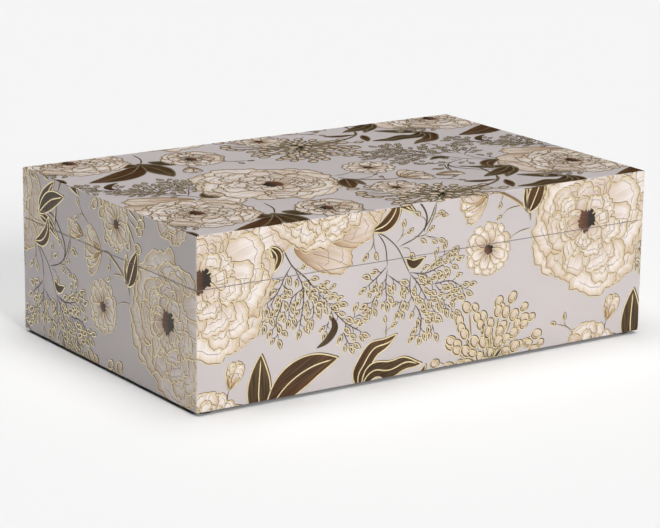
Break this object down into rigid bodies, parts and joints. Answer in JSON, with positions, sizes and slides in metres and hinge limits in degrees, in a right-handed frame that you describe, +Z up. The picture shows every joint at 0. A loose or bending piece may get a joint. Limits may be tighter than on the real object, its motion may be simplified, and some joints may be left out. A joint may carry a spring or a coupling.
{
  "type": "keepsake box",
  "caption": "Rectangular lacquered keepsake box with a hinged lid, floral printed sheets on every outer face, velvet-lined base and lid, stop hinges at the back and low round feet.",
  "frame": {"origin": "on the ground, under the middle of the outer size with the hinges", "axes": "+X right along the box's length seen from the front, +Y towards the hinges at the back, +Z up"},
  "size_m": [0.35, 0.2286, 0.113],
  "materials": {
    "lacquered_print": "printed sheet under a high-gloss clear lacquer",
    "painted_board": "fibreboard painted dark brown, satin",
    "velvet_lining": "short-pile velvet on card",
    "brass_hinge": "brushed brass",
    "brass_screws": "polished brass",
    "foot_rubber": "matt black"
  },
  "bodies": {
    "base": {"base_front_panel": "painted_board", "base_back_panel": "painted_board", "base_left_panel": "painted_board", "base_right_panel": "painted_board", "base_bottom_panel": "painted_board", "base_print_front": "lacquered_print", "base_print_back": "lacquered_print", "base_print_left": "lacquered_print", "base_print_right": "lacquered_print", "base_lining_front": "velvet_lining", "base_lining_back": "velvet_lining", "base_lining_left": "velvet_lining", "base_lining_right": "velvet_lining", "base_lining_floor": "velvet_lining", "foot_front_left": "foot_rubber", "foot_front_right": "foot_rubber", "foot_back_left": "foot_rubber", "foot_back_right": "foot_rubber", "hinge_left_base_leaf": "brass_hinge", "hinge_right_base_leaf": "brass_hinge", "hinge_left_pin": "brass_hinge", "hinge_right_pin": "brass_hinge", "base_hinge_screws": "brass_screws"},
    "lid": {"lid_front_rim": "painted_board", "lid_back_rim": "painted_board", "lid_left_rim": "painted_board", "lid_right_rim": "painted_board", "lid_top_panel": "painted_board", "lid_print_front": "lacquered_print", "lid_print_back": "lacquered_print", "lid_print_left": "lacquered_print", "lid_print_right": "lacquered_print", "lid_print_top": "lacquered_print", "lid_lining_front": "velvet_lining", "lid_lining_back": "velvet_lining", "lid_lining_left": "velvet_lining", "lid_lining_right": "velvet_lining", "lid_lining_top": "velvet_lining", "hinge_left_lid_leaf": "brass_hinge", "hinge_right_lid_leaf": "brass_hinge", "lid_hinge_screws": "brass_screws"}
  },
  "joints": [
    {"name": "lid_hinge", "type": "hinge", "parent": "base", "child": "lid", "pos_m": [0, 0.11098, 0.079], "axis": [-1, 0, 0], "range_deg": [0, 95]}
  ]
}
